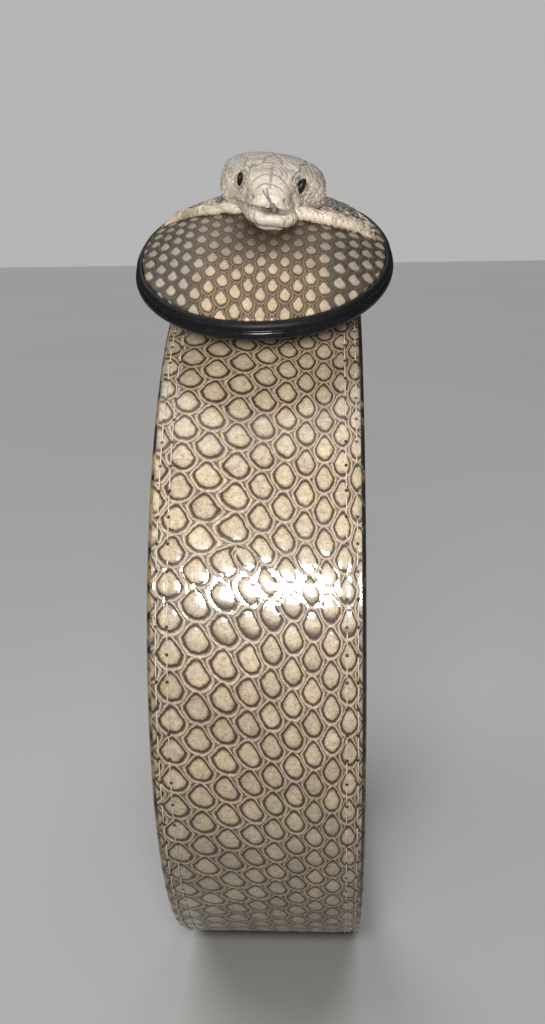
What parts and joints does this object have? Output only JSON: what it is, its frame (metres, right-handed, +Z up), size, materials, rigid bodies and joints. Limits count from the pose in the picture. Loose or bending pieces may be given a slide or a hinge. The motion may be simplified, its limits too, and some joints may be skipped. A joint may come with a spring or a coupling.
{
  "type": "snakeskin belt with snake head buckle",
  "caption": "Rolled snakeskin belt standing on its edge, with a domed oval buckle plate and a preserved snake head with a forked tongue.",
  "frame": {"origin": "middle of the flat patch of the coil that the belt stands on", "axes": "+Z up, +X across the strap to the viewer's right, -Y to the front where the buckle plate leans"},
  "size_m": [0.0504, 0.1486, 0.1719],
  "materials": {
    "glazed_snakeskin": "glossy glazed cream and brown snake scales",
    "lining_leather": "matte dark brown smooth leather",
    "cover_snakeskin": "glossy small grey and cream snake scales",
    "bleached_head_skin": "bleached dried skin with head shields, satin",
    "black_edging": "gloss black bead with a duller strip",
    "nickel_plate": "brushed nickel plate",
    "black_eye": "gloss black",
    "dried_tongue": "dried, dull dark grey"
  },
  "bodies": {
    "strap": {"strap_skin": "glazed_snakeskin", "strap_lining": "lining_leather", "snap_cap_left": "nickel_plate", "snap_cap_right": "nickel_plate"},
    "buckle": {"buckle_rim": "black_edging", "buckle_cover": "cover_snakeskin", "buckle_back": "nickel_plate", "buckle_loop": "nickel_plate", "hook_stud": "nickel_plate", "snake_head": "bleached_head_skin", "left_eye": "black_eye", "right_eye": "black_eye", "tongue": "dried_tongue"}
  },
  "joints": [
    {"name": "buckle_hinge", "type": "hinge", "parent": "strap", "child": "buckle", "pos_m": [0, -0.00801, 0.14835], "axis": [-1, 0, 0], "range_deg": [0, 20]}
  ]
}
